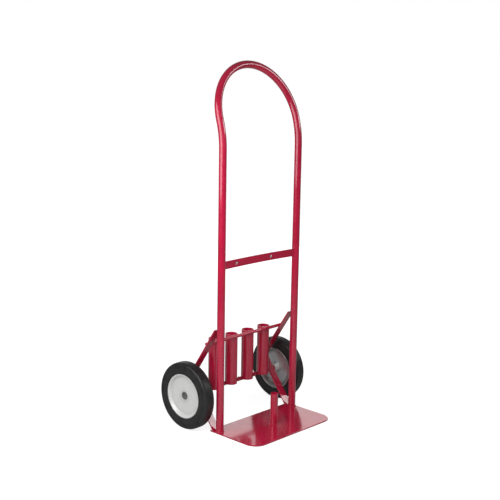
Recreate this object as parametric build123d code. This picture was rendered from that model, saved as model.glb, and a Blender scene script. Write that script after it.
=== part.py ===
"""Breaker hammer hand truck: bent tube frame, toe plate, holder for four tool bits, two solid tyred wheels.

Millimetres. +X runs to the right-hand wheel as seen from the front, -Y is the front (toe plate side), +Z is up.
The origin is on the floor, midway between the two uprights and on the plane of their axes.
"""
from build123d import *
from math import asin, atan2, cos, hypot, radians, sin, sqrt, tan
import os

# ---- hoop frame: one bent tube ----
TUBE_R = 14.3                # 1-1/8 in tube, outside radius
TUBE_WALL = 2.1
UPRIGHT_X = 201.0            # axis of each upright, either side of the middle
STRAIGHT_TOP_Z = 1047.0      # where the uprights start to lean back
LEAN_BEND_R = 335.0
LEAN_DEG = 17.9

# ---- toe plate ----
PLATE_T = 5.0
PLATE_HALF_X = 217.0
PLATE_FRONT_Y = -200.0
PLATE_REAR_Y = 36.5
PLATE_CORNER_R = 50.0
PLATE_REAR_CORNER_R = 4.0
PLATE_EDGE_BREAK = 0.8

# ---- cross bar between the uprights ----
BAR_Z = 631.0
BAR_H = 29.2
BAR_T = 4.8
BAR_END_Y = -3.0             # middle of the bar's thickness where it meets the uprights
BAR_BOW = 9.0                # how far the middle stands behind the ends
BOLT_XS = (-125.0, 63.0)
BOLT_R = 3.0
BOLT_HEAD_R = 5.6
BOLT_HEAD_T = 3.4
NUT_FLATS = 10.0
NUT_T = 5.0
BOLT_STICK_OUT = 1.6         # thread showing past the nut

# ---- axle and wheels ----
AXLE_R = 7.94                # 5/8 in bar
AXLE_Y = 124.5
AXLE_Z = 127.0
AXLE_HALF = 264.6
WHEEL_X = 250.8              # middle plane of each tyre
TYRE_R = 127.0
TYRE_HALF_W = 23.0
TYRE_SHOULDER_R = 11.0
TYRE_BORE_R = 82.0
SIDEWALL_RING_R = 112.0      # shallow moulded ring in each sidewall
SIDEWALL_RING_W = 3.0
SIDEWALL_RING_DEPTH = 1.2
DISC_T = 2.4
DISC_LIP_R = 83.6            # rolled lip over the tyre's bead
DISC_LIP_X = 22.4            # face of the lip, measured from the wheel's middle plane
DISC_WELL_R = 71.0           # where the dish reaches its flat
OUTER_WEB_X = 12.4           # outer face of each disc's flat, from the middle plane
INNER_WEB_X = 7.4
HUB_R = 17.0
HUB_BORE_R = 14.3
HUB_IN_X = 222.0             # the hub tube's two ends
HUB_OUT_X = 262.4
BEARING_L = 11.0
BEARING_CLEAR = 0.05         # running clearance on the axle
FACE_GAP = 0.4               # end float between wheel and collars
COLLAR_R = 12.7
COLLAR_BORE_R = 7.94
WASHER_R = 14.0
WASHER_T = 1.2
CAP_R = 13.6
CAP_T = 4.4

# ---- side braces: flat bar bent to a V behind each upright ----
BRACE_W = 31.75              # 1-1/4 in bar
BRACE_T = 4.8
LOWER_SLOPE = 0.750          # y gained per z going up the lower leg
LOWER_Y0 = 16.2
UPPER_SLOPE = -0.660
UPPER_Y0 = 275.1
BRACE_BEND_R = 35.0          # at the bar's middle line
BRACE_WELD_W = 18.0

# ---- holder for the tool bits ----
BIT_TUBE_R = 23.8
BIT_TUBE_WALL = 2.2
BIT_TUBE_Y = 100.0
BIT_TUBE_PITCH = 89.0
BIT_TUBE_TOP_Z = 330.5
BIT_TUBE_LOW_Z = 132.0
BIT_FLOOR_T = 3.0
BIT_FLOOR_Z = 136.0
BIT_FLOOR_SEAT = 0.6           # radial step the floor disc is let into
ROD_R = 6.35                 # 1/2 in rod
ROD_Z = 326.0
ROD_HALF = 208.0

# ---- post for the breaker's nose, on the toe plate ----
PEG_R = 14.3
PEG_WALL = 2.5
PEG_Y = -87.0
PEG_TOP_Z = 128.0

WELD_PREP = 1.8              # bevel ground on the nose post's foot for its weld
WELD_LEG = 4.0               # leg of the fillet weld round each foot

SIDES = {"left": -1, "right": 1}


def x_cylinder(radius, x0, x1, y=AXLE_Y, z=AXLE_Z):
    """Round bar along X from x0 to x1."""
    middle = Pos((x0 + x1) / 2, y, z)
    return middle * Rot(0, 90, 0) * Cylinder(radius, abs(x1 - x0))


def x_ring(outer, inner, x0, x1, y=AXLE_Y, z=AXLE_Z):
    """Round sleeve along X from x0 to x1."""
    reach = 1.0 if x1 > x0 else -1.0
    return x_cylinder(outer, x0, x1, y, z) - x_cylinder(inner, x0 - reach, x1 + reach, y, z)


def upright_tube(x, y, z0, z1, radius, wall, floor=0.0):
    """Round tube standing on z0; floor closes its foot when above zero."""
    height = z1 - z0
    tube = Pos(x, y, z0) * Cylinder(radius, height, align=(Align.CENTER, Align.CENTER, Align.MIN))
    bore = Pos(x, y, z0 + floor) * Cylinder(
        radius - wall, height, align=(Align.CENTER, Align.CENTER, Align.MIN))
    if floor == 0.0:
        bore = Pos(x, y, z0 - 1) * Cylinder(
            radius - wall, height + 2, align=(Align.CENTER, Align.CENTER, Align.MIN))
    return tube - bore


def hoop_frame():
    """Both uprights, their lean and the half round handle, one tube swept along one path."""
    lean = radians(LEAN_DEG)
    bend_y = LEAN_BEND_R * (1 - cos(lean))
    bend_z = STRAIGHT_TOP_Z + LEAN_BEND_R * sin(lean)
    half_y = LEAN_BEND_R * (1 - cos(lean / 2))
    half_z = STRAIGHT_TOP_Z + LEAN_BEND_R * sin(lean / 2)
    crown = (0, bend_y + UPRIGHT_X * sin(lean), bend_z + UPRIGHT_X * cos(lean))
    left_foot = (-UPRIGHT_X, 0, PLATE_T)
    path = Wire([
        Edge.make_line(left_foot, (-UPRIGHT_X, 0, STRAIGHT_TOP_Z)),
        Edge.make_three_point_arc((-UPRIGHT_X, 0, STRAIGHT_TOP_Z), (-UPRIGHT_X, half_y, half_z),
                                  (-UPRIGHT_X, bend_y, bend_z)),
        Edge.make_three_point_arc((-UPRIGHT_X, bend_y, bend_z), crown, (UPRIGHT_X, bend_y, bend_z)),
        Edge.make_three_point_arc((UPRIGHT_X, bend_y, bend_z), (UPRIGHT_X, half_y, half_z),
                                  (UPRIGHT_X, 0, STRAIGHT_TOP_Z)),
        Edge.make_line((UPRIGHT_X, 0, STRAIGHT_TOP_Z), (UPRIGHT_X, 0, PLATE_T)),
    ])
    foot = Plane(origin=left_foot, z_dir=(0, 0, 1))
    outside = sweep(foot * Circle(TUBE_R), path=path)
    inside = sweep(foot * Circle(TUBE_R - TUBE_WALL), path=path)
    return outside - inside


def toe_plate():
    """Flat plate with big front corners, edges lightly broken."""
    middle_y = (PLATE_FRONT_Y + PLATE_REAR_Y) / 2
    plate = Pos(0, middle_y, PLATE_T / 2) * Box(2 * PLATE_HALF_X, PLATE_REAR_Y - PLATE_FRONT_Y, PLATE_T)
    upright_edges = plate.edges().filter_by(Axis.Z).sort_by(Axis.Y)
    plate = fillet(upright_edges[:2], PLATE_CORNER_R)
    rear_edges = plate.edges().filter_by(Axis.Z).sort_by(Axis.Y)[-2:]
    plate = fillet(rear_edges, PLATE_REAR_CORNER_R)
    rims = plate.faces().filter_by(Axis.Z).edges()
    return chamfer(rims, PLATE_EDGE_BREAK)


def bar_middle_y(x):
    """Middle of the bowed cross bar's thickness at x."""
    half = UPRIGHT_X
    radius = (half ** 2 + BAR_BOW ** 2) / (2 * BAR_BOW)
    return BAR_END_Y + BAR_BOW - radius + sqrt(radius ** 2 - x ** 2)


def cross_bar():
    """Flat bar bowed to the back, coped round both uprights, drilled for its two bolts."""
    half = UPRIGHT_X
    radius = (half ** 2 + BAR_BOW ** 2) / (2 * BAR_BOW)
    centre_y = BAR_END_Y + BAR_BOW - radius
    outer = Cylinder(radius + BAR_T / 2, BAR_H)
    inner = Cylinder(radius - BAR_T / 2, 2 * BAR_H)
    strip = Pos(0, radius, 0) * Box(2 * half, 2 * BAR_BOW + 3 * BAR_T, 2 * BAR_H)
    bar = Pos(0, centre_y, BAR_Z) * ((outer - inner) & strip)
    for side in SIDES.values():
        bar -= Pos(side * UPRIGHT_X, 0, BAR_Z) * Cylinder(TUBE_R, 2 * BAR_H)
    for x in BOLT_XS:
        bar -= Pos(x, bar_middle_y(x), BAR_Z) * Rot(90, 0, 0) * Cylinder(BOLT_R, 8 * BAR_T)
    return bar


def domed_button(radius, skirt, height):
    """Round button standing on z = 0: a short straight skirt under a shallow dome."""
    rise = height - skirt
    arc_r = (radius ** 2 + rise ** 2) / (2 * rise)
    half = asin(radius / arc_r) / 2
    shoulder = (arc_r * sin(half), height - arc_r * (1 - cos(half)))
    edges = [
        Edge.make_line((0, 0, 0), (radius, 0, 0)),
        Edge.make_line((radius, 0, 0), (radius, 0, skirt)),
        Edge.make_three_point_arc((radius, 0, skirt), (shoulder[0], 0, shoulder[1]), (0, 0, height)),
        Edge.make_line((0, 0, height), (0, 0, 0)),
    ]
    return revolve(Face(Wire(edges)), Axis.Z)


def cross_bar_bolts():
    """Two button headed bolts, heads to the front."""
    bar = cross_bar()
    bolts = []
    for x in BOLT_XS:
        front = bar_middle_y(x) - BAR_T / 2
        head = domed_button(BOLT_HEAD_R, 0.8, BOLT_HEAD_T)
        shank_l = BAR_T + NUT_T + BOLT_STICK_OUT
        shank = Cylinder(BOLT_R, shank_l, align=(Align.CENTER, Align.CENTER, Align.MAX))
        bolt = Pos(x, front, BAR_Z) * Rot(90, 0, 0) * (head + shank)
        bolts.append(bolt - bar)
    return Compound(children=bolts)


def cross_bar_nuts():
    """Plain hexagon nuts at the back of the bar."""
    bar = cross_bar()
    nuts = []
    for x in BOLT_XS:
        back = bar_middle_y(x) + BAR_T / 2
        hexagon = RegularPolygon(NUT_FLATS / 2, 6, major_radius=False)
        blank = Pos(x, back + NUT_T, BAR_Z) * Rot(90, 0, 0) * extrude(hexagon, NUT_T)
        hole = Pos(x, back + NUT_T / 2, BAR_Z) * Rot(90, 0, 0) * Cylinder(BOLT_R, 2 * NUT_T)
        nuts.append(blank - hole - bar)
    return Compound(children=nuts)


def brace_points():
    """Bend centre, start and end angles of the brace's bar, all in the YZ plane."""
    k_low = hypot(1, LOWER_SLOPE)
    k_up = hypot(1, UPPER_SLOPE)
    z = ((UPPER_Y0 - BRACE_BEND_R * k_up) - (LOWER_Y0 - BRACE_BEND_R * k_low)) / (LOWER_SLOPE - UPPER_SLOPE)
    y = LOWER_SLOPE * z + LOWER_Y0 - BRACE_BEND_R * k_low
    return (y, z), (1 / k_low, -LOWER_SLOPE / k_low), (1 / k_up, -UPPER_SLOPE / k_up)


def brace(side):
    """One flat bar: foot on the toe plate, out to the axle, round the bend and up to the upright's back."""
    (cy, cz), low_n, up_n = brace_points()
    half = BRACE_T / 2
    upper_z = 392.0
    outline = []
    for offset in (half, -half):
        k_low = hypot(1, LOWER_SLOPE)
        k_up = hypot(1, UPPER_SLOPE)
        foot = (LOWER_SLOPE * PLATE_T + LOWER_Y0 + offset * k_low, PLATE_T)
        reach = BRACE_BEND_R + offset
        bend_in = (cy + reach * low_n[0], cz + reach * low_n[1])
        bend_out = (cy + reach * up_n[0], cz + reach * up_n[1])
        mid_n = (low_n[0] + up_n[0], low_n[1] + up_n[1])
        mid_l = hypot(*mid_n)
        bend_mid = (cy + reach * mid_n[0] / mid_l, cz + reach * mid_n[1] / mid_l)
        head = (UPPER_SLOPE * upper_z + UPPER_Y0 + offset * k_up, upper_z)
        outline.append((foot, bend_in, bend_mid, bend_out, head))
    back, front = outline
    edges = [
        Edge.make_line((0, *back[0]), (0, *back[1])),
        Edge.make_three_point_arc((0, *back[1]), (0, *back[2]), (0, *back[3])),
        Edge.make_line((0, *back[3]), (0, *back[4])),
        Edge.make_line((0, *back[4]), (0, *front[4])),
        Edge.make_line((0, *front[4]), (0, *front[3])),
        Edge.make_three_point_arc((0, *front[3]), (0, *front[2]), (0, *front[1])),
        Edge.make_line((0, *front[1]), (0, *front[0])),
        Edge.make_line((0, *front[0]), (0, *back[0])),
    ]
    section = Face(Wire(edges))
    bar = extrude(section, BRACE_W / 2, dir=(1, 0, 0), both=True)
    bar = Pos(side * UPRIGHT_X, 0, 0) * bar
    bar -= Pos(side * UPRIGHT_X, 0, upper_z) * Cylinder(TUBE_R, 200)
    bar -= x_cylinder(AXLE_R, side * (UPRIGHT_X - BRACE_W), side * (UPRIGHT_X + BRACE_W))
    bar -= x_cylinder(ROD_R, side * (UPRIGHT_X - BRACE_W), side * (UPRIGHT_X + BRACE_W), rod_y(), ROD_Z)
    return bar


def rod_y():
    """The cross rod lies against the front of the bit tubes."""
    return BIT_TUBE_Y - BIT_TUBE_R - ROD_R


def axle():
    """Straight round bar through both wheels."""
    bar = x_cylinder(AXLE_R, -AXLE_HALF, AXLE_HALF)
    return chamfer(bar.edges().filter_by(GeomType.CIRCLE), 0.8)


def bit_tube(number):
    """One open-topped holder tube, coped over the axle at its foot."""
    x = (number - 2.5) * BIT_TUBE_PITCH
    tube = upright_tube(x, BIT_TUBE_Y, BIT_TUBE_LOW_Z, BIT_TUBE_TOP_Z, BIT_TUBE_R, BIT_TUBE_WALL)
    floor_top = BIT_FLOOR_Z + BIT_FLOOR_T
    seat_r = BIT_TUBE_R - BIT_TUBE_WALL + BIT_FLOOR_SEAT
    seat = Cylinder(seat_r, 20, align=(Align.CENTER, Align.CENTER, Align.MAX))
    tube -= Pos(x, BIT_TUBE_Y, floor_top) * seat
    return tube - x_cylinder(AXLE_R, x - 2 * BIT_TUBE_R, x + 2 * BIT_TUBE_R)


def bit_tube_floors():
    """Four discs that stop the bits just above the axle."""
    discs = []
    for number in (1, 2, 3, 4):
        x = (number - 2.5) * BIT_TUBE_PITCH
        seat_r = BIT_TUBE_R - BIT_TUBE_WALL + BIT_FLOOR_SEAT
        disc = Cylinder(seat_r, BIT_FLOOR_T, align=(Align.CENTER, Align.CENTER, Align.MIN))
        discs.append(Pos(x, BIT_TUBE_Y, BIT_FLOOR_Z) * disc)
    return Compound(children=discs)


def bit_tube_rod():
    """Cross rod in front of the bit tubes, ends on the braces."""
    rod = x_cylinder(ROD_R, -ROD_HALF, ROD_HALF, rod_y(), ROD_Z)
    return chamfer(rod.edges().filter_by(GeomType.CIRCLE), 0.8)


def nose_post():
    """Open tube on the toe plate that takes the breaker's nose, its foot bevelled for the weld."""
    post = upright_tube(0, PEG_Y, PLATE_T, PEG_TOP_Z, PEG_R, PEG_WALL)
    past = PEG_R + 1
    bevel_top = PLATE_T + WELD_LEG
    bevel = Polygon((PEG_R - WELD_PREP, PLATE_T), (PEG_R, bevel_top), (past, bevel_top), (past, PLATE_T),
                    align=None)
    return post - Pos(0, PEG_Y, 0) * revolve(Plane.XZ * bevel, Axis.Z)


def fillet_weld(x, y, radius, prep=0.0):
    """Ring of weld round a tube's foot on the toe plate; prep is the foot's bevel that it fills."""
    section = Polygon((radius - prep, PLATE_T), (radius + WELD_LEG, PLATE_T), (radius, PLATE_T + WELD_LEG),
                      align=None)
    ring = revolve(Plane.XZ * section, Axis.Z)
    return Pos(x, y, 0) * ring


def foot_welds():
    """Welds round both uprights and the nose post."""
    welds = [fillet_weld(0, PEG_Y, PEG_R, WELD_PREP)]
    (cy, cz), low_n, up_n = brace_points()
    for side in SIDES.values():
        weld = fillet_weld(side * UPRIGHT_X, 0, TUBE_R)
        keep = Pos(0, PLATE_REAR_Y - 200, PLATE_T) * Box(2 * PLATE_HALF_X, 400, 60)
        weld = (weld & keep) - brace(side)
        welds.append(weld)
    return Compound(children=welds)


def disc_profile(web_x, lip_x, lip_reach):
    """Pressed disc in the wheel's half section: (distance outward from the middle plane, radius)."""
    t = DISC_T
    slope = atan2(lip_x - web_x, DISC_LIP_R - t - DISC_WELL_R)
    shift = t * tan(slope / 2)
    return [
        (web_x, HUB_R), (web_x, DISC_WELL_R), (lip_x, TYRE_BORE_R - t), (lip_x, DISC_LIP_R + lip_reach),
        (lip_x - t, DISC_LIP_R + lip_reach), (lip_x - t, TYRE_BORE_R), (0.15, TYRE_BORE_R),
        (0.15, TYRE_BORE_R - t), (lip_x - 2.2 * t, TYRE_BORE_R - t), (web_x - t, DISC_WELL_R - shift),
        (web_x - t, HUB_R),
    ]


def spun_about_axle(points, side, outward):
    """Solid of revolution about the axle from (offset, radius) points; outward is +1 away from the frame."""
    places = [(side * (WHEEL_X + outward * a), AXLE_Y, AXLE_Z + r) for a, r in points]
    section = Face(Wire.make_polygon(places, close=True))
    return revolve(section, Axis((0, AXLE_Y, AXLE_Z), (1, 0, 0)))


def tyre(side):
    """Solid rubber tyre: flat sidewalls with one moulded ring, round shoulders, smooth tread."""
    body = x_ring(TYRE_R, TYRE_BORE_R, side * (WHEEL_X - TYRE_HALF_W), side * (WHEEL_X + TYRE_HALF_W))
    rims = body.edges().filter_by(GeomType.CIRCLE).filter_by(lambda e: e.radius > TYRE_R - 1)
    body = fillet(rims, TYRE_SHOULDER_R)
    for outward in (1, -1):
        face = side * (WHEEL_X + outward * TYRE_HALF_W)
        inner = side * (WHEEL_X + outward * (TYRE_HALF_W - SIDEWALL_RING_DEPTH))
        past = side * (WHEEL_X + outward * (TYRE_HALF_W + 1))
        body -= x_ring(SIDEWALL_RING_R, SIDEWALL_RING_R - SIDEWALL_RING_W, inner, past)
        seat_in = side * (WHEEL_X + outward * (DISC_LIP_X - DISC_T))
        body -= x_cylinder(DISC_LIP_R + 1.4, seat_in, past)
    return body


def hub_tube(side):
    """Tube through both discs that carries the bearings."""
    return x_ring(HUB_R, HUB_BORE_R, side * HUB_IN_X, side * HUB_OUT_X)


def bearings(side):
    """Two plain bearing sleeves, one at each end of the hub tube."""
    bore = AXLE_R + BEARING_CLEAR
    inner = x_ring(HUB_BORE_R, bore, side * HUB_IN_X, side * (HUB_IN_X + BEARING_L))
    outer = x_ring(HUB_BORE_R, bore, side * (HUB_OUT_X - BEARING_L), side * HUB_OUT_X)
    return Compound(children=[inner, outer])


def collar(side):
    """Spacer between the brace and the hub."""
    return x_ring(COLLAR_R, COLLAR_BORE_R, side * (UPRIGHT_X + BRACE_W / 2), side * (HUB_IN_X - FACE_GAP))


def washer(side):
    """Washer outside the hub."""
    x0 = HUB_OUT_X + FACE_GAP
    return x_ring(WASHER_R, COLLAR_BORE_R, side * x0, side * (x0 + WASHER_T))


def axle_cap(side):
    """Domed push-on cap over the axle's end."""
    x0 = HUB_OUT_X + FACE_GAP + WASHER_T
    cap = Pos(side * x0, AXLE_Y, AXLE_Z) * Rot(0, side * 90, 0) * domed_button(CAP_R, 1.2, CAP_T)
    return cap - axle()


def all_nodes():
    """Every named piece of the hand truck."""
    nodes = {
        "hoop_frame": hoop_frame(),
        "toe_plate": toe_plate(),
        "cross_bar": cross_bar(),
        "cross_bar_bolts": cross_bar_bolts(),
        "cross_bar_nuts": cross_bar_nuts(),
        "axle": axle(),
        "bit_tube_floors": bit_tube_floors(),
        "bit_tube_rod": bit_tube_rod(),
        "nose_post": nose_post(),
        "foot_welds": foot_welds(),
    }
    for number in (1, 2, 3, 4):
        nodes[f"bit_tube_{number}"] = bit_tube(number)
    for name, side in SIDES.items():
        nodes[f"{name}_brace"] = brace(side)
        nodes[f"{name}_axle_collar"] = collar(side)
        nodes[f"{name}_axle_washer"] = washer(side)
        nodes[f"{name}_axle_cap"] = axle_cap(side)
        nodes[f"{name}_tyre"] = tyre(side)
        nodes[f"{name}_outer_disc"] = spun_about_axle(disc_profile(OUTER_WEB_X, DISC_LIP_X, 0.0), side, 1)
        nodes[f"{name}_inner_disc"] = spun_about_axle(disc_profile(INNER_WEB_X, DISC_LIP_X, 0.0), side, -1)
        nodes[f"{name}_hub_tube"] = hub_tube(side)
        nodes[f"{name}_bearings"] = bearings(side)
    return nodes


os.makedirs("parts", exist_ok=True)
for node_name, shape in all_nodes().items():
    export_step(shape, f"parts/{node_name}.step")
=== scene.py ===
import math

import bmesh
import bpy
from mathutils import Matrix, Vector


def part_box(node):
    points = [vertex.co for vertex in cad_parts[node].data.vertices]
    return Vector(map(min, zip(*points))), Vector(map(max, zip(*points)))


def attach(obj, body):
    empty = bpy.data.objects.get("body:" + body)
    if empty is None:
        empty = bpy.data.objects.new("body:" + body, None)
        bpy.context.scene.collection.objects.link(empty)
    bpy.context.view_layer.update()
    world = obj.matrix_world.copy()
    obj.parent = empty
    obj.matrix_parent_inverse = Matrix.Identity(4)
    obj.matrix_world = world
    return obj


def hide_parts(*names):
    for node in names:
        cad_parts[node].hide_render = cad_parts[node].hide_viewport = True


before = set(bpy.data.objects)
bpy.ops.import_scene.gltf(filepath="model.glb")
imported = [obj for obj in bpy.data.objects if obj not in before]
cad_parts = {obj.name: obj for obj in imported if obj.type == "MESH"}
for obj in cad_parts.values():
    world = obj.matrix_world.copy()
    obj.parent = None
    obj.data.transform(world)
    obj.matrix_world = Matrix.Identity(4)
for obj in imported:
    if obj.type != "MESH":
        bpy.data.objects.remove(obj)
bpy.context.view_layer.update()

MM = 0.001

# ---- Camera -------------------------------------------------------------------------------------
# A long lens at chest height, standing off the front left corner so that the loop handle, the toe
# plate and both wheels are all in view.
BEARING = math.radians(-46.433)
RISE = math.radians(10.924)
LEAN_OVER = math.radians(0.962)
CAMERA_DISTANCE = 3626.755 * MM
AIM = Vector((-54.976 * MM, 0.0, 670.658 * MM))

towards_camera = Vector((math.sin(BEARING) * math.cos(RISE), -math.cos(BEARING) * math.cos(RISE),
                         math.sin(RISE)))
level_right = (-towards_camera).cross(Vector((0, 0, 1))).normalized()
level_up = level_right.cross(-towards_camera)
picture_right = math.cos(LEAN_OVER) * level_right + math.sin(LEAN_OVER) * level_up
picture_up = math.cos(LEAN_OVER) * level_up - math.sin(LEAN_OVER) * level_right
camera_turn = Matrix((picture_right, picture_up, towards_camera)).transposed().to_4x4()
camera_data = bpy.data.cameras.new("studio_camera")
camera_data.sensor_width = 36.0
camera_data.lens = 70.97
camera_data.clip_end = 100.0
camera = bpy.data.objects.new("studio_camera", camera_data)
camera.matrix_world = Matrix.Translation(AIM + towards_camera * CAMERA_DISTANCE) @ camera_turn
bpy.context.scene.collection.objects.link(camera)
bpy.context.scene.camera = camera
bpy.context.scene.view_settings.view_transform = "Standard"


# ---- Studio -------------------------------------------------------------------------------------
# White paper floor, a soft key panel to the left of the camera, a smaller panel high on the right, a
# low lit wall behind, and two fills, over the toe plate and behind, that no glossy surface mirrors.
def add_node(tree, kind, inputs=None, **settings):
    """One node with its settings; inputs maps a socket to a value or to another node's output."""
    made = tree.nodes.new(kind)
    for name, value in settings.items():
        setattr(made, name, value)
    for socket, value in (inputs or {}).items():
        if isinstance(value, bpy.types.NodeSocket):
            tree.links.new(value, made.inputs[socket])
        else:
            made.inputs[socket].default_value = value
    return made


def paint(code):
    """An sRGB hex code as linear RGBA."""
    channels = [int(code[i:i + 2], 16) / 255 for i in (1, 3, 5)]
    return [c / 12.92 if c <= 0.04045 else ((c + 0.055) / 1.055) ** 2.4 for c in channels] + [1.0]


room = bpy.data.worlds.new("white_room")
room.use_nodes = True
room.node_tree.nodes.clear()
bpy.context.scene.world = room
seen_direct = add_node(room.node_tree, "ShaderNodeLightPath").outputs["Is Camera Ray"]
dim_walls = add_node(room.node_tree, "ShaderNodeBackground", {"Color": paint("#F7F7F8"), "Strength": 0.15})
white_walls = add_node(room.node_tree, "ShaderNodeBackground", {"Color": paint("#FFFFFF"), "Strength": 1.0})
walls = add_node(room.node_tree, "ShaderNodeMixShader",
                 {0: seen_direct, 1: dim_walls.outputs[0], 2: white_walls.outputs[0]})
add_node(room.node_tree, "ShaderNodeOutputWorld", {"Surface": walls.outputs[0]})

FLOOR_RADIUS = 40.0
FLOOR_DROP = 0.3 * MM
floor_shape = bmesh.new()
bmesh.ops.create_circle(floor_shape, cap_ends=True, segments=64, radius=FLOOR_RADIUS)
bmesh.ops.translate(floor_shape, verts=floor_shape.verts, vec=(0, 0, -FLOOR_DROP))
floor_mesh = bpy.data.meshes.new("paper_floor")
floor_shape.to_mesh(floor_mesh)
floor_shape.free()
paper_floor = bpy.data.objects.new("paper_floor", floor_mesh)
bpy.context.scene.collection.objects.link(paper_floor)
# Matt white background paper: no gloss, lit evenly right up to the wall.
paper = bpy.data.materials.new("white_background_paper")
paper.use_nodes = True
paper.node_tree.nodes.clear()
paper_seen = add_node(paper.node_tree, "ShaderNodeLightPath").outputs["Is Camera Ray"]
paper_place = add_node(paper.node_tree, "ShaderNodeTexCoord").outputs["Object"]
paper_out = add_node(paper.node_tree, "ShaderNodeVectorMath", {0: paper_place}, operation="LENGTH")
paper_glow = add_node(paper.node_tree, "ShaderNodeMapRange",
                      {"Value": paper_out.outputs["Value"], "From Min": 0.5, "From Max": 3.0,
                       "To Min": 0.8, "To Max": 1.0})
paper_lift = add_node(paper.node_tree, "ShaderNodeMath", {0: paper_seen, 1: paper_glow.outputs[0]},
                      operation="MULTIPLY")
paper_surface = add_node(paper.node_tree, "ShaderNodeBsdfPrincipled", {
    "Base Color": paint("#B6B6B6"), "Roughness": 0.9, "Specular IOR Level": 0.1,
    "Emission Color": paint("#FFFFFF"), "Emission Strength": paper_lift.outputs[0]})
add_node(paper.node_tree, "ShaderNodeOutputMaterial", {"Surface": paper_surface.outputs[0]})
floor_mesh.materials.append(paper)


def softbox(name, turn, distance, height, width, tall, brightness, tilt=0.0, mirrored=True):
    """A soft panel light facing the truck; turn is its bearing from the camera, positive to the right."""
    bearing = BEARING + math.radians(turn)
    lamp = bpy.data.lights.new(name, "AREA")
    lamp.shape = "RECTANGLE"
    lamp.size = width
    lamp.size_y = tall
    lamp.energy = 4 * width * tall * brightness
    panel = bpy.data.objects.new(name, lamp)
    place = Vector((math.sin(bearing) * distance, -math.cos(bearing) * distance, height))
    facing = Matrix.Rotation(bearing, 4, "Z") @ Matrix.Rotation(math.radians(90 - tilt), 4, "X")
    panel.matrix_world = Matrix.Translation(place) @ facing
    panel.visible_camera = False
    panel.visible_glossy = mirrored
    bpy.context.scene.collection.objects.link(panel)


softbox("key_panel", turn=-42, distance=1.8, height=1.5, width=1.7, tall=1.7, brightness=2.4)
# It starts 1.63 m up: lower than 1.4 m, the toe plate mirrors it in a view from behind.
softbox("right_panel", turn=90, distance=3.0, height=1.98, width=1.8, tall=0.7, brightness=3.9)
softbox("lit_wall", turn=180, distance=3.6, height=0.85, width=8.0, tall=1.7, brightness=0.78)
softbox("toe_fill", turn=0, distance=1.1, height=1.15, width=1.4, tall=1.0, brightness=2.2, tilt=62,
        mirrored=False)
softbox("back_fill", turn=160, distance=2.9, height=1.4, width=2.4, tall=1.6, brightness=1.0, tilt=15,
        mirrored=False)


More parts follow.
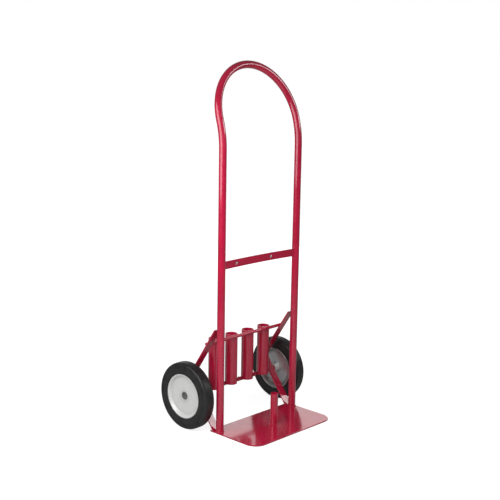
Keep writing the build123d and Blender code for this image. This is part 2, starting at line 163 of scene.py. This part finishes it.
# ---- Hoop frame ---------------------------------------------------------------------------------
# One length of 28.6 mm welded steel tube, bent into both uprights and the round handle. It is
# degreased, sprayed crimson and stoved, with no grip over it.
def crimson_enamel(name, peel_mm, scuffing):
    """Stoved gloss enamel on steel. peel_mm is how coarse its orange peel is, scuffing from 0 to 1."""
    coat = bpy.data.materials.new(name)
    coat.use_nodes = True
    tree = coat.node_tree
    tree.nodes.clear()
    place = add_node(tree, "ShaderNodeTexCoord").outputs["Object"]
    # The film is a little deeper in colour where the spray passes overlap, every 90 mm or so.
    passes = add_node(tree, "ShaderNodeTexNoise",
                      {"Vector": place, "Scale": 1 / (90 * MM), "Detail": 2.0, "Roughness": 0.45})
    film = add_node(tree, "ShaderNodeMapRange",
                    {"Value": passes.outputs["Fac"], "From Min": 0.3, "From Max": 0.7})
    shade = add_node(tree, "ShaderNodeMix", {0: film.outputs[0], 6: paint("#AF1237"), 7: paint("#BF1840")},
                     data_type="RGBA")
    # Edges lose their film first: a bevel probe finds them, and 5 mm noise breaks them into chips.
    rounded = add_node(tree, "ShaderNodeBevel", {"Radius": 1.6 * MM}, samples=4)
    true_normal = add_node(tree, "ShaderNodeNewGeometry").outputs["Normal"]
    alike = add_node(tree, "ShaderNodeVectorMath", {0: rounded.outputs[0], 1: true_normal},
                     operation="DOT_PRODUCT")
    edge = add_node(tree, "ShaderNodeMapRange",
                    {"Value": alike.outputs["Value"], "From Min": 0.97, "From Max": 0.78})
    chips = add_node(tree, "ShaderNodeTexNoise",
                     {"Vector": place, "Scale": 1 / (5 * MM), "Detail": 4.0, "Roughness": 0.65})
    broken = add_node(tree, "ShaderNodeMapRange",
                      {"Value": chips.outputs["Fac"], "From Min": 0.56, "From Max": 0.66,
                       "To Max": 0.25 + 0.6 * scuffing})
    worn = add_node(tree, "ShaderNodeMath", {0: edge.outputs[0], 1: broken.outputs[0]}, operation="MULTIPLY")
    thinned = add_node(tree, "ShaderNodeMix", {0: worn.outputs[0], 6: shade.outputs[2], 7: paint("#6B3A3F")},
                       data_type="RGBA")
    # Long fine rubs, 2 mm apart and 150 mm long, from loads slid on and off.
    stretch = add_node(tree, "ShaderNodeMapping",
                       {"Vector": place, "Rotation": (0, 0, 0.12),
                        "Scale": (1 / (2 * MM), 1 / (150 * MM), 40)})
    rubs = add_node(tree, "ShaderNodeTexNoise",
                    {"Vector": stretch.outputs[0], "Scale": 1.0, "Detail": 3.0, "Roughness": 0.6})
    rubbed = add_node(tree, "ShaderNodeMapRange",
                      {"Value": rubs.outputs["Fac"], "From Min": 0.6, "From Max": 0.75,
                       "To Max": 0.12 * scuffing})
    handled = add_node(tree, "ShaderNodeTexNoise",
                       {"Vector": place, "Scale": 1 / (35 * MM), "Detail": 3.0, "Roughness": 0.6})
    gloss = add_node(tree, "ShaderNodeMapRange",
                     {"Value": handled.outputs["Fac"], "From Min": 0.35, "From Max": 0.7,
                      "To Min": 0.15, "To Max": 0.24})
    duller = add_node(tree, "ShaderNodeMath", {0: gloss.outputs[0], 1: rubbed.outputs[0]})
    roughness = add_node(tree, "ShaderNodeMath",
                         {0: worn.outputs[0], 1: 0.4, 2: duller.outputs[0]}, operation="MULTIPLY_ADD")
    # Orange peel, the slight dimpling of sprayed enamel, and a slow waviness of the steel below.
    peel = add_node(tree, "ShaderNodeTexNoise",
                    {"Vector": place, "Scale": 1 / (peel_mm * MM), "Detail": 1.0, "Roughness": 0.4})
    waves = add_node(tree, "ShaderNodeTexNoise", {"Vector": place, "Scale": 1 / (45 * MM), "Detail": 1.0})
    wavy = add_node(tree, "ShaderNodeBump",
                    {"Height": waves.outputs["Fac"], "Strength": 0.4, "Distance": 0.08 * MM})
    dimpled = add_node(tree, "ShaderNodeBump",
                       {"Height": peel.outputs["Fac"], "Strength": 0.25, "Distance": 0.02 * MM,
                        "Normal": wavy.outputs[0]})
    surface = add_node(tree, "ShaderNodeBsdfPrincipled", {
        "Base Color": thinned.outputs[2], "Roughness": roughness.outputs[0], "IOR": 1.5,
        "Coat Weight": 1.0, "Coat Roughness": 0.07 + 0.04 * scuffing, "Normal": dimpled.outputs[0]})
    add_node(tree, "ShaderNodeOutputMaterial", {"Surface": surface.outputs[0]})
    return coat


def coat_node(node, material):
    """Gives a piece of the frame its finish."""
    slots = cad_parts[node].data.materials
    slots.clear()
    slots.append(material)


# Gloss crimson enamel on tube: deep red straight on, pale and mirror-like at the sides.
tube_enamel = crimson_enamel("stoved_crimson_enamel_on_tube", peel_mm=3.0, scuffing=0.1)
coat_node("hoop_frame", tube_enamel)


# ---- Toe plate ----------------------------------------------------------------------------------
# 5 mm steel plate with big front corners and lightly broken edges, under the same enamel. Loads
# slide over it, so it has more rubs, and small chips along its front edge.
plate_enamel = crimson_enamel("stoved_crimson_enamel_on_plate", peel_mm=4.0, scuffing=0.7)
coat_node("toe_plate", plate_enamel)


# ---- Cross bar, its bolts and nuts --------------------------------------------------------------
# Flat bar 29 by 4.8 mm, bowed back a little and welded between the uprights. Its sawn edges are
# eased. Two zinc plated button bolts stand in it, with plain hexagon nuts behind.
def link_piece(name, shape, body, material, sharp_degrees=35.0):
    """Makes a bmesh a finished piece that rides on a body."""
    mesh = bpy.data.meshes.new(name)
    shape.to_mesh(mesh)
    shape.free()
    mesh.polygons.foreach_set("use_smooth", [True] * len(mesh.polygons))
    mesh.set_sharp_from_angle(angle=math.radians(sharp_degrees))
    mesh.materials.append(material)
    piece = bpy.data.objects.new(name, mesh)
    bpy.context.scene.collection.objects.link(piece)
    # The broad faces keep their own normals, so only the rounded edges catch a line of light.
    piece.modifiers.new("broad_faces_flat", "WEIGHTED_NORMAL").keep_sharp = True
    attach(piece, body)
    return piece


def ease_edges(shape, width, over_degrees, segments=3):
    """Rounds every edge that turns more than the given angle."""
    turning = [e for e in shape.edges
               if len(e.link_faces) == 2 and e.calc_face_angle(0.0) > math.radians(over_degrees)]
    bmesh.ops.bevel(shape, geom=turning, offset=width, segments=segments, profile=0.5, affect="EDGES",
                    clamp_overlap=True, material=-1)


def eased_copy(node, width):
    """A merged copy of a frame node with its sharp edges rounded."""
    shape = bmesh.new()
    shape.from_mesh(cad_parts[node].data)
    bmesh.ops.remove_doubles(shape, verts=shape.verts, dist=0.001 * MM)
    # The triangles of a flat face become one face again.
    bmesh.ops.dissolve_limit(shape, angle_limit=math.radians(0.5), verts=shape.verts, edges=shape.edges)
    ease_edges(shape, width, over_degrees=40.0)
    return shape


bar_piece = link_piece("cross_bar_eased", eased_copy("cross_bar", width=0.7 * MM), "frame",
                       tube_enamel)
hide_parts("cross_bar")


def zinc_plate(name, grain_mm, clean, clouded):
    """Zinc on small steel parts; grain_mm is the size of the crystals' faint patches."""
    plated = bpy.data.materials.new(name)
    plated.use_nodes = True
    tree = plated.node_tree
    tree.nodes.clear()
    place = add_node(tree, "ShaderNodeTexCoord").outputs["Object"]
    patches = add_node(tree, "ShaderNodeTexNoise",
                       {"Vector": place, "Scale": 1 / (grain_mm * MM), "Detail": 3.0, "Roughness": 0.6})
    tint = add_node(tree, "ShaderNodeMix", {0: patches.outputs["Fac"], 6: paint(clean), 7: paint(clouded)},
                    data_type="RGBA")
    dull = add_node(tree, "ShaderNodeMapRange",
                    {"Value": patches.outputs["Fac"], "From Min": 0.3, "From Max": 0.7,
                     "To Min": 0.29, "To Max": 0.42})
    pits = add_node(tree, "ShaderNodeTexNoise", {"Vector": place, "Scale": 1 / (0.6 * MM), "Detail": 2.0})
    grainy = add_node(tree, "ShaderNodeBump",
                      {"Height": pits.outputs["Fac"], "Strength": 0.3, "Distance": 0.03 * MM})
    surface = add_node(tree, "ShaderNodeBsdfPrincipled", {
        "Base Color": tint.outputs[2], "Metallic": 1.0, "Roughness": dull.outputs[0],
        "Normal": grainy.outputs[0]})
    add_node(tree, "ShaderNodeOutputMaterial", {"Surface": surface.outputs[0]})
    return plated


# Electroplated zinc, clear passivated: bright and cold, with faint yellowish clouding.
bright_zinc = zinc_plate("bright_zinc_plate", grain_mm=2.5, clean="#F4F4F6", clouded="#E6E3DC")
for hardware in ("cross_bar_bolts", "cross_bar_nuts"):
    coat_node(hardware, bright_zinc)


# ---- Nose post and the welds round the feet -----------------------------------------------------
# A short open tube stands on the toe plate for the breaker's nose. Post and uprights are MIG welded
# to the plate with one rippled bead each, painted over with the rest.
def merged_turn(points, steps, closed):
    """A shape turned about X from (along X, radius) points."""
    shape = bmesh.new()
    rim = [shape.verts.new((along, 0, radius)) for along, radius in points]
    sides = [shape.edges.new(pair) for pair in zip(rim, rim[1:])]
    if closed:
        sides.append(shape.edges.new((rim[-1], rim[0])))
    bmesh.ops.spin(shape, geom=rim + sides, cent=(0, 0, 0), axis=(1, 0, 0), angle=math.tau, steps=steps,
                   use_merge=True)
    bmesh.ops.remove_doubles(shape, verts=shape.verts, dist=0.001 * MM)
    bmesh.ops.recalc_face_normals(shape, faces=shape.faces)
    return shape


RIPPLE = 2.8 * MM
BEAD = 2.6 * MM
RING_RIPPLE_DEPTH = 0.1
BEAD_OUTSIDE_TUBE = 0.5 * MM
BEAD_ABOVE_PLATE = 0.8 * MM
BEAD_INSIDE_EDGE = 0.4 * MM
BEAD_SHARP_DEGREES = 60.0


def bead_ring(radius):
    """A weld bead round a tube of this radius, about Z, its ripples a wave in the bead's thickness."""
    count = round(math.tau * radius / RIPPLE)
    shape = bmesh.new()
    section = bmesh.ops.create_circle(shape, segments=8, radius=BEAD)["verts"]
    bmesh.ops.rotate(shape, verts=section, matrix=Matrix.Rotation(math.pi / 2, 3, "X"))
    bmesh.ops.translate(shape, verts=section, vec=(radius, 0, 0))
    bmesh.ops.spin(shape, geom=shape.verts[:] + shape.edges[:], cent=(0, 0, 0), axis=(0, 0, 1),
                   angle=math.tau, steps=4 * count, use_merge=True)
    bmesh.ops.remove_doubles(shape, verts=shape.verts, dist=0.001 * MM)
    for vert in shape.verts:
        turn = math.atan2(vert.co.y, vert.co.x)
        core = Vector((math.cos(turn), math.sin(turn), 0)) * radius
        thickness = 1 - RING_RIPPLE_DEPTH + RING_RIPPLE_DEPTH * math.cos(turn * count)
        vert.co = core + (vert.co - core) * thickness
    bmesh.ops.recalc_face_normals(shape, faces=shape.faces)
    return shape


def gather(shapes):
    """Several bmeshes as one."""
    together = bmesh.new()
    for shape in shapes:
        part = bpy.data.meshes.new("part")
        shape.to_mesh(part)
        shape.free()
        together.from_mesh(part)
        bpy.data.meshes.remove(part)
    return together


plate_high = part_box("toe_plate")[1]
post_low, post_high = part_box("nose_post")
tube_radius = (post_high.x - post_low.x) / 2
upright_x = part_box("hoop_frame")[1].x - tube_radius
post_y = (post_low.y + post_high.y) / 2
# The enamel on a bead is the same, only the peel is finer over the ripples.
bead_enamel = crimson_enamel("stoved_crimson_enamel_on_welds", peel_mm=1.5, scuffing=0.2)

rings = []
for foot_x, foot_y in ((-upright_x, 0.0), (upright_x, 0.0), (0.0, post_y)):
    ring = bead_ring(tube_radius + BEAD_OUTSIDE_TUBE)
    bmesh.ops.translate(ring, verts=ring.verts, vec=(foot_x, foot_y, plate_high.z + BEAD_ABOVE_PLATE))
    # An upright's bead is cut off just inside the side of the plate and closed.
    if foot_x:
        side = math.copysign(1.0, foot_x)
        edge_x = side * (plate_high.x - BEAD_INSIDE_EDGE)
        bmesh.ops.bisect_plane(ring, geom=ring.verts[:] + ring.edges[:] + ring.faces[:],
                               plane_co=(edge_x, 0, 0), plane_no=(side, 0, 0), clear_outer=True)
        bmesh.ops.holes_fill(ring, edges=[e for e in ring.edges if e.is_boundary], sides=0)
    rings.append(ring)
foot_bead_piece = link_piece("foot_weld_beads", gather(rings), "frame", bead_enamel,
                             BEAD_SHARP_DEGREES)
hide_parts("foot_welds")

post_piece = link_piece("nose_post_eased", eased_copy("nose_post", width=0.6 * MM), "frame",
                        tube_enamel)
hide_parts("nose_post")


# ---- Braces -------------------------------------------------------------------------------------
# 31.8 by 4.8 mm flat bar bent the easy way round the axle, its foot on the toe plate and its head
# on the back of the upright. The bar's rolled corners are slightly round.
for side_name in ("left", "right"):
    brace = link_piece(f"{side_name}_brace_eased", eased_copy(f"{side_name}_brace", width=0.8 * MM), "frame",
                       tube_enamel)
    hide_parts(f"{side_name}_brace")


# ---- Axle, bit tubes and cross rod --------------------------------------------------------------
# A 15.9 mm bright bar is the axle. Four 47.6 mm tubes are coped over it and welded, each closed by a
# disc just above the axle, and a 12.7 mm rod is welded across their fronts near the top.
for member in ("axle", "bit_tube_rod", "bit_tube_floors", "left_axle_collar", "right_axle_collar"):
    coat_node(member, tube_enamel)
for number in (1, 2, 3, 4):
    tube = link_piece(f"bit_tube_{number}_eased", eased_copy(f"bit_tube_{number}", width=0.6 * MM), "frame",
                      tube_enamel)
    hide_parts(f"bit_tube_{number}")


RUN_RIPPLE_DEPTH = 0.12
STEPS_PER_RIPPLE = 3
ROD_BEAD_HALF_LENGTH = 7 * MM
ROD_BEAD_BACK = 0.75            # behind the rod's axis, in rod radii
ROD_BEAD_RISE = 0.8             # above and below the rod's axis, in rod radii
AXLE_BEAD_INSET = 3 * MM
AXLE_BEAD_FRONT = 6 * MM
AXLE_BEAD_BACK = 3 * MM


def bead_run(start, end):
    """A straight weld bead from start to end, turned about its own line."""
    start, end = Vector(start), Vector(end)
    length = (end - start).length
    steps = STEPS_PER_RIPPLE * max(2, round(length / RIPPLE))
    rim = [(0.0, 0.0)]
    for i in range(steps):
        wave = math.cos(math.tau * i / STEPS_PER_RIPPLE)
        rim.append((length * (i + 0.5) / steps, BEAD * (1 - RUN_RIPPLE_DEPTH + RUN_RIPPLE_DEPTH * wave)))
    rim.append((length, 0.0))
    shape = merged_turn(rim, steps=8, closed=False)
    turn = Vector((1, 0, 0)).rotation_difference(end - start).to_matrix().to_4x4()
    bmesh.ops.transform(shape, matrix=Matrix.Translation(start) @ turn, verts=shape.verts)
    return shape


rod_low, rod_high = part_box("bit_tube_rod")
rod_y = (rod_low.y + rod_high.y) / 2
rod_z = (rod_low.z + rod_high.z) / 2
rod_radius = (rod_high.z - rod_low.z) / 2
axle_low, axle_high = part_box("axle")
axle_y = (axle_low.y + axle_high.y) / 2
axle_z = (axle_low.z + axle_high.z) / 2
axle_radius = (axle_high.z - axle_low.z) / 2
axle_top = axle_z + axle_radius
runs = []
for number in (1, 2, 3, 4):
    low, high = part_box(f"bit_tube_{number}")
    middle = (low.x + high.x) / 2
    # Between the rod and the tube, above and below.
    for level in (-1, 1):
        line_y = rod_y + ROD_BEAD_BACK * rod_radius
        line_z = rod_z + level * ROD_BEAD_RISE * rod_radius
        runs.append(bead_run((middle - ROD_BEAD_HALF_LENGTH, line_y, line_z),
                             (middle + ROD_BEAD_HALF_LENGTH, line_y, line_z)))
    # On top of the axle, at each side of the tube's foot.
    for end_x in (low.x + AXLE_BEAD_INSET, high.x - AXLE_BEAD_INSET):
        runs.append(bead_run((end_x, axle_y - AXLE_BEAD_FRONT, axle_top),
                             (end_x, axle_y + AXLE_BEAD_BACK, axle_top)))
link_piece("bit_tube_weld_beads", gather(runs), "frame", bead_enamel, BEAD_SHARP_DEGREES)


# ---- Wheels -------------------------------------------------------------------------------------
# Solid rubber tyres 254 mm across on two pressed steel discs each, the discs welded to a tube hub
# that turns on plain sleeves. Collars, washers and domed push-on caps hold them on the axle.
def about_axle(tree, place):
    """Object coordinates flattened on the wheel's plane, and the distance from the axle."""
    flat = add_node(tree, "ShaderNodeMapping",
                    {"Vector": place, "Location": (0, -axle_y, -axle_z), "Scale": (0, 1, 1)})
    return add_node(tree, "ShaderNodeVectorMath", {0: flat.outputs[0]}, operation="LENGTH").outputs["Value"]


# Carbon black rubber, compression moulded: dark grey, with a chalky bloom in clouds and a soft
# sheen rather than a reflection.
rubber = bpy.data.materials.new("moulded_black_rubber")
rubber.use_nodes = True
rubber.node_tree.nodes.clear()
rubber_tree = rubber.node_tree
rubber_place = add_node(rubber_tree, "ShaderNodeTexCoord").outputs["Object"]
rubber_radius = about_axle(rubber_tree, rubber_place)
bloom = add_node(rubber_tree, "ShaderNodeTexNoise",
                 {"Vector": rubber_place, "Scale": 1 / (22 * MM), "Detail": 5.0, "Roughness": 0.62})
bloomed = add_node(rubber_tree, "ShaderNodeMapRange",
                   {"Value": bloom.outputs["Fac"], "From Min": 0.35, "From Max": 0.7})
rubber_colour = add_node(rubber_tree, "ShaderNodeMix",
                         {0: bloomed.outputs[0], 6: paint("#151516"), 7: paint("#2A292A")}, data_type="RGBA")
mould_rings = add_node(rubber_tree, "ShaderNodeTexNoise",
                       {"W": rubber_radius, "Scale": 1 / (1.6 * MM), "Detail": 2.0}, noise_dimensions="1D")
grit = add_node(rubber_tree, "ShaderNodeTexNoise",
                {"Vector": rubber_place, "Scale": 1 / (1.1 * MM), "Detail": 3.0, "Roughness": 0.7})
rubber_dull = add_node(rubber_tree, "ShaderNodeMapRange",
                       {"Value": bloom.outputs["Fac"], "From Min": 0.3, "From Max": 0.7,
                        "To Min": 0.36, "To Max": 0.54})
ringed = add_node(rubber_tree, "ShaderNodeBump",
                  {"Height": mould_rings.outputs["Fac"], "Strength": 0.4, "Distance": 0.06 * MM})
gritty = add_node(rubber_tree, "ShaderNodeBump",
                  {"Height": grit.outputs["Fac"], "Strength": 0.5, "Distance": 0.08 * MM,
                   "Normal": ringed.outputs[0]})
rubber_surface = add_node(rubber_tree, "ShaderNodeBsdfPrincipled", {
    "Base Color": rubber_colour.outputs[2], "Roughness": rubber_dull.outputs[0], "IOR": 1.52,
    "Normal": gritty.outputs[0]})
add_node(rubber_tree, "ShaderNodeOutputMaterial", {"Surface": rubber_surface.outputs[0]})


def wheel_enamel(name, light, deep, metal, dish_shade):
    """Grey enamel over pressed steel; metal is how much steel shows through, the last argument how dark the
    shade painted in the corner of the dish is.
    """
    coat = bpy.data.materials.new(name)
    coat.use_nodes = True
    tree = coat.node_tree
    tree.nodes.clear()
    place = add_node(tree, "ShaderNodeTexCoord").outputs["Object"]
    radius = about_axle(tree, place)
    clouds = add_node(tree, "ShaderNodeTexNoise",
                      {"Vector": place, "Scale": 1 / (28 * MM), "Detail": 3.0, "Roughness": 0.5})
    shade = add_node(tree, "ShaderNodeMix", {0: clouds.outputs["Fac"], 6: paint(deep), 7: paint(light)},
                     data_type="RGBA")
    # Grime is held in specks within 20 mm of the hub.
    near_hub = add_node(tree, "ShaderNodeMapRange",
                        {"Value": radius, "From Min": 34 * MM, "From Max": 14 * MM, "To Max": 0.35})
    specks = add_node(tree, "ShaderNodeTexNoise",
                      {"Vector": place, "Scale": 1 / (6 * MM), "Detail": 4.0, "Roughness": 0.7})
    grime = add_node(tree, "ShaderNodeMath", {0: near_hub.outputs[0], 1: specks.outputs["Fac"]},
                     operation="MULTIPLY")
    grimed = add_node(tree, "ShaderNodeMix", {0: grime.outputs[0], 6: shade.outputs[2], 7: paint("#6E6B69")},
                      data_type="RGBA")
    # Painted shade darkens the corner of the dish, 60 to 76 mm out, heavier in some clouds than in others.
    outward_from = add_node(tree, "ShaderNodeMapRange",
                            {"Value": radius, "From Min": 58 * MM, "From Max": 70 * MM})
    inward_from = add_node(tree, "ShaderNodeMapRange",
                           {"Value": radius, "From Min": 78 * MM, "From Max": 73 * MM})
    corner = add_node(tree, "ShaderNodeMath", {0: outward_from.outputs[0], 1: inward_from.outputs[0]},
                      operation="MULTIPLY")
    patchy = add_node(tree, "ShaderNodeMapRange",
                      {"Value": clouds.outputs["Fac"], "From Min": 0.35, "From Max": 0.65,
                       "To Min": 0.4 * dish_shade, "To Max": dish_shade})
    dish_shade_ring = add_node(tree, "ShaderNodeMath", {0: corner.outputs[0], 1: patchy.outputs[0]},
                       operation="MULTIPLY")
    # The dark grey mixed in here is painted shade for the corner of the dish.
    shaded_in_dish = add_node(tree, "ShaderNodeMix",
                     {0: dish_shade_ring.outputs[0], 6: grimed.outputs[2], 7: paint("#4A4744")}, data_type="RGBA")
    # Faint rings where the sheet was drawn over the die.
    die_rings = add_node(tree, "ShaderNodeTexNoise", {"W": radius, "Scale": 1 / (2.2 * MM), "Detail": 2.0},
                         noise_dimensions="1D")
    die_marks = add_node(tree, "ShaderNodeBump",
                         {"Height": die_rings.outputs["Fac"], "Strength": 0.35, "Distance": 0.06 * MM})
    dull = add_node(tree, "ShaderNodeMapRange",
                    {"Value": clouds.outputs["Fac"], "From Min": 0.3, "From Max": 0.7,
                     "To Min": 0.29, "To Max": 0.4})
    surface = add_node(tree, "ShaderNodeBsdfPrincipled", {
        "Base Color": shaded_in_dish.outputs[2], "Roughness": dull.outputs[0], "Metallic": metal, "IOR": 1.5,
        "Coat Weight": 0.2, "Coat Roughness": 0.12, "Normal": die_marks.outputs[0]})
    add_node(tree, "ShaderNodeOutputMaterial", {"Surface": surface.outputs[0]})
    return coat


# Outer discs: nearly white in the light, satin, with a faint painted shade in the dish's corner.
wheel_paint = wheel_enamel("light_grey_wheel_enamel", light="#EDEDEB", deep="#DEDEDC", metal=0.15, dish_shade=0.14)
# Inner discs: a thin coat with the steel showing through, so they turn dark where nothing is lit, and a
# heavy painted shade in the dish's corner.
thin_wheel_paint = wheel_enamel("thin_grey_wheel_enamel", light="#CFCFD0", deep="#B2B3B5", metal=0.75,
                                dish_shade=0.75)

# Oiled steel sleeve: dark, with faint clouds and fine pits.
sleeve_steel = zinc_plate("oiled_bearing_steel", grain_mm=1.2, clean="#8D8F92", clouded="#6F6A62")
# Washers and caps: zinc gone grey from handling.
grey_zinc = zinc_plate("greyed_zinc_plate", grain_mm=2.0, clean="#A2A5A9", clouded="#85827B")

# Tyre and discs are turned from sections in millimetres: (out from the tyre's middle, radius).
TYRE_R = 127.0
TYRE_HALF = 23.0
TYRE_SHOULDER = 11.0
BORE_R = 82.0
LIP_SEAT = 20.0
LIP_SEAT_R = 85.0
GROOVE_DEPTH = 1.2
tyre_half = [
    # The step that the discs' lips sit in, and the lower sidewall.
    (LIP_SEAT, BORE_R), (LIP_SEAT, LIP_SEAT_R), (TYRE_HALF, LIP_SEAT_R),
    # The groove moulded round the sidewall.
    (TYRE_HALF, 109.0), (TYRE_HALF - GROOVE_DEPTH, 109.5), (TYRE_HALF - GROOVE_DEPTH, 111.5),
    (TYRE_HALF, 112.0),
    # The slightly crowned tread, with the mould's parting line standing up in the middle.
    (TYRE_HALF, TYRE_R - 0.4), (0.8, TYRE_R - 0.2), (0.6, TYRE_R)]
tyre_section = tyre_half + [(-x, r) for x, r in reversed(tyre_half)]

OUTER_WEB = 12.4
INNER_WEB = 7.4
WALL = 2.4
HUB_R = 17.0
HUB_RING_RISE = 0.9
LIP = 22.4
LIP_R = 83.6
FLANGE_R = 79.6
HALF_GAP = 0.15                 # half the gap between the two discs' flanges
TURN_STEPS = 128


def disc_section(web, reach):
    """Half section of one pressed disc; reach is how far its lip goes past the plain lip radius."""
    return [
        # Outer face: the ring round the hub, the flat web, the dish and the lip.
        (web, HUB_R), (web + HUB_RING_RISE, 17.4), (web + HUB_RING_RISE, 20.5), (web, 22.5), (web, 71.0),
        (LIP, FLANGE_R), (LIP, LIP_R + reach), (LIP - WALL, LIP_R + reach),
        # The flange in the tyre's bore, then back along the inner face.
        (LIP - WALL, BORE_R), (HALF_GAP, BORE_R), (HALF_GAP, FLANGE_R), (LIP - 2.2 * WALL, FLANGE_R),
        (web - WALL, 69.9), (web - WALL, HUB_R)]


def place_on_axle(shape, middle_x):
    """Slides a turned shape along X to the wheel and up to the axle."""
    bmesh.ops.translate(shape, verts=shape.verts, vec=(middle_x, axle_y, axle_z))


for side_name, outward in (("left", -1), ("right", 1)):
    body = f"{side_name}_wheel"
    tyre_low, tyre_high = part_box(f"{side_name}_tyre")
    tyre_middle = (tyre_low.x + tyre_high.x) / 2
    tyre = merged_turn([(x * MM, r * MM) for x, r in tyre_section], steps=TURN_STEPS, closed=True)
    # The two corner circles of the tread are rounded into its shoulders.
    shoulders = [e for e in tyre.edges
                 if all(math.hypot(v.co.y, v.co.z) > (TYRE_R - 0.5) * MM
                        and abs(v.co.x) > (TYRE_HALF - 1) * MM for v in e.verts)]
    bmesh.ops.bevel(tyre, geom=shoulders, offset=TYRE_SHOULDER * MM, segments=8, profile=0.5,
                    affect="EDGES", material=-1)
    ease_edges(tyre, width=0.35 * MM, over_degrees=30.0, segments=2)
    place_on_axle(tyre, tyre_middle)
    tyre_piece = link_piece(f"{side_name}_tyre_rubber", tyre, body, rubber)
    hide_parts(f"{side_name}_tyre")
    for node, web, facing, enamel in (
            (f"{side_name}_outer_disc", OUTER_WEB, outward, wheel_paint),
            (f"{side_name}_inner_disc", INNER_WEB, -outward, thin_wheel_paint)):
        reach = (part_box(node)[1].z - axle_z) / MM - LIP_R
        points = [(facing * x * MM, r * MM) for x, r in disc_section(web, reach)]
        disc = merged_turn(points, steps=TURN_STEPS, closed=True)
        ease_edges(disc, width=0.8 * MM, over_degrees=18.0)
        place_on_axle(disc, tyre_middle)
        disc_piece = link_piece(f"{node}_pressing", disc, body, enamel)
        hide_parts(node)
    coat_node(f"{side_name}_hub_tube", wheel_paint)
    coat_node(f"{side_name}_bearings", sleeve_steel)
    coat_node(f"{side_name}_axle_washer", grey_zinc)
    cap = link_piece(f"{side_name}_axle_cap_eased", eased_copy(f"{side_name}_axle_cap", width=0.25 * MM),
                     "frame", grey_zinc)
    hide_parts(f"{side_name}_axle_cap")
